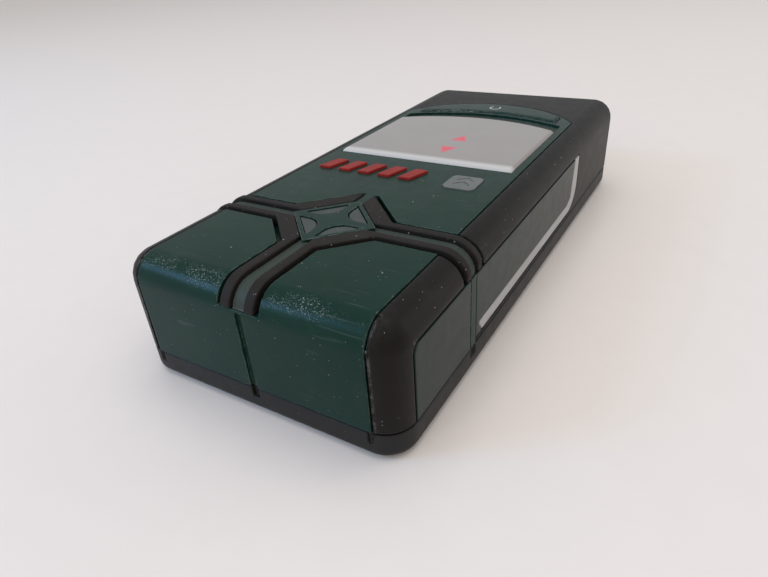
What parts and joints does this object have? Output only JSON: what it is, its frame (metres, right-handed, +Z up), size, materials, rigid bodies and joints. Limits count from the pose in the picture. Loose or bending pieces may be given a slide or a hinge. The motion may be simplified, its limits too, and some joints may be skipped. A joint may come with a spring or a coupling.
{
  "type": "stud finder",
  "caption": "Flat hand-held wall detector with a rubber-edged green housing, star-shaped marking grooves over its sensor, a wide display, a power key and a sliding battery cover.",
  "frame": {"origin": "bottom centre of the bounding box, on the surface that the glide pads rest on", "axes": "+Y from the sensor nose to the display end, +X to the right when looking along +Y with +Z up, +Z up and away from the sensing face"},
  "size_m": [0.064, 0.147, 0.0288],
  "materials": {
    "shell_green": "satin dark green moulded plastic, fine texture",
    "base_black": "dark grey-black moulded plastic",
    "overmould_rubber": "matte black-brown soft elastomer",
    "groove_rubber": "matte brown-grey soft elastomer",
    "side_panel": "smooth grey plastic",
    "silver_trim": "light silver-grey plastic",
    "light_guide": "grey translucent plastic",
    "accent_red": "raised red plastic",
    "badge_grey": "grey plastic badge",
    "lens_clear": "clear display lens over a light grey display",
    "display_silver": "silver-grey printed film and display cell",
    "foam_black": "closed-cell foam and conductive rubber",
    "circuit_board": "green solder mask",
    "chip_black": "moulded component bodies",
    "copper": "enamelled copper",
    "tinned_steel": "zinc plated and tinned metal",
    "bobbin_plastic": "natural nylon",
    "glide_felt": "dense grey felt",
    "battery_jacket": "plain dark blue battery jacket",
    "lead_red": "red lead insulation",
    "lead_black": "black lead insulation"
  },
  "bodies": {
    "housing": {"accent_bar_1": "accent_red", "accent_bar_2": "accent_red", "accent_bar_3": "accent_red", "accent_bar_4": "accent_red", "accent_bar_5": "accent_red", "badge_plate": "badge_grey", "base_tray": "base_black", "battery_9v": "battery_jacket", "battery_connector": "bobbin_plastic", "battery_lead_black": "lead_black", "battery_lead_red": "lead_red", "battery_snap": "lead_black", "board_header": "chip_black", "buzzer": "chip_black", "capacitive_plate": "copper", "capacitor_1": "tinned_steel", "capacitor_2": "tinned_steel", "coil_bobbin": "bobbin_plastic", "display_gasket": "foam_black", "display_lens": "lens_clear", "display_mask": "display_silver", "glide_pad_1": "glide_felt", "glide_pad_2": "glide_felt", "glide_pad_3": "glide_felt", "glide_pad_4": "glide_felt", "groove_inlay_front_left": "groove_rubber", "groove_inlay_front_right": "groove_rubber", "groove_inlay_rear_left": "groove_rubber", "groove_inlay_rear_right": "groove_rubber", "housing_screw_1": "tinned_steel", "housing_screw_2": "tinned_steel", "housing_screw_3": "tinned_steel", "housing_screw_4": "tinned_steel", "inner_coil": "copper", "key_board": "circuit_board", "key_switch": "chip_black", "lcd_backlight": "lens_clear", "lcd_connector": "foam_black", "lcd_glass": "display_silver", "main_board": "circuit_board", "microcontroller": "chip_black", "outer_coil": "copper", "quartz_crystal": "tinned_steel", "rubber_corner_left": "overmould_rubber", "rubber_corner_right": "overmould_rubber", "rubber_surround": "overmould_rubber", "sensor_board": "circuit_board", "side_panel_front_left": "side_panel", "side_panel_front_right": "side_panel", "side_panel_rear_left": "side_panel", "side_panel_rear_right": "side_panel", "side_trim_left": "silver_trim", "side_trim_right": "silver_trim", "signal_led": "lens_clear", "signal_light_guide": "light_guide", "top_shell": "shell_green"},
    "power_key": {"power_key": "shell_green"},
    "key_switch_plunger": {"key_switch_plunger": "silver_trim"},
    "battery_door": {"battery_door": "base_black"}
  },
  "joints": [
    {"name": "key_press", "type": "slide", "parent": "housing", "child": "power_key", "axis": [0, 0, -1], "range_m": [0, 0.0004], "stiffness_N_per_m": 4000},
    {"name": "switch_press", "type": "slide", "parent": "housing", "child": "key_switch_plunger", "axis": [0, 0, -1], "range_m": [0, 0.0004]},
    {"name": "battery_door_slide", "type": "slide", "parent": "housing", "child": "battery_door", "axis": [0, 1, 0], "range_m": [0, 0.036]}
  ],
  "couplings": [
    {"joint": "switch_press", "follows": "key_press", "ratio": 1}
  ]
}
